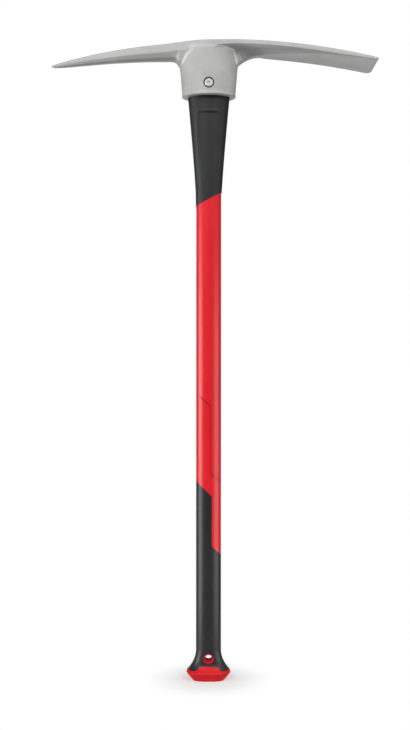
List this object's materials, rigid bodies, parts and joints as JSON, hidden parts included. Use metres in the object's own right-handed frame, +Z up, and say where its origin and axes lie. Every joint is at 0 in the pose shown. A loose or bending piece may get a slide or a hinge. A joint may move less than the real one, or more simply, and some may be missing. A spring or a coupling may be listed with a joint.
{
  "type": "pick mattock",
  "caption": "Pick mattock: forged head with a pick point and an adze blade, bolted and bonded to an oval handle with an overstrike sleeve, a rubber grip and a flared end cap.",
  "frame": {"origin": "centre of the flat butt of the end cap, on the shaft's axis", "axes": "+Z up the shaft to the head, +X to the adze's cutting edge, -X to the pick point, -Y to the front with the bolt head"},
  "size_m": [0.467, 0.079, 0.9144],
  "materials": {
    "head_steel": "satin clear coat over shot-blasted steel",
    "bolt_steel": "bright zinc",
    "washer_steel": "black oxide",
    "resin": "cast epoxy",
    "fibreglass": "pultruded rod",
    "red_plastic": "semi-gloss moulding",
    "black_plastic": "fine-grained moulding",
    "grip_rubber": "satin overmoulding"
  },
  "bodies": {
    "root": {"pick_head": "head_steel", "cross_bolt": "bolt_steel", "barrel_nut": "bolt_steel", "bolt_washers": "washer_steel", "eye_bond": "resin", "fibreglass_core": "fibreglass", "upper_jacket": "red_plastic", "lower_jacket": "red_plastic", "overstrike_sleeve": "black_plastic", "rubber_grip": "grip_rubber", "end_cap": "red_plastic", "lanyard_bush": "red_plastic"}
  },
  "joints": []
}
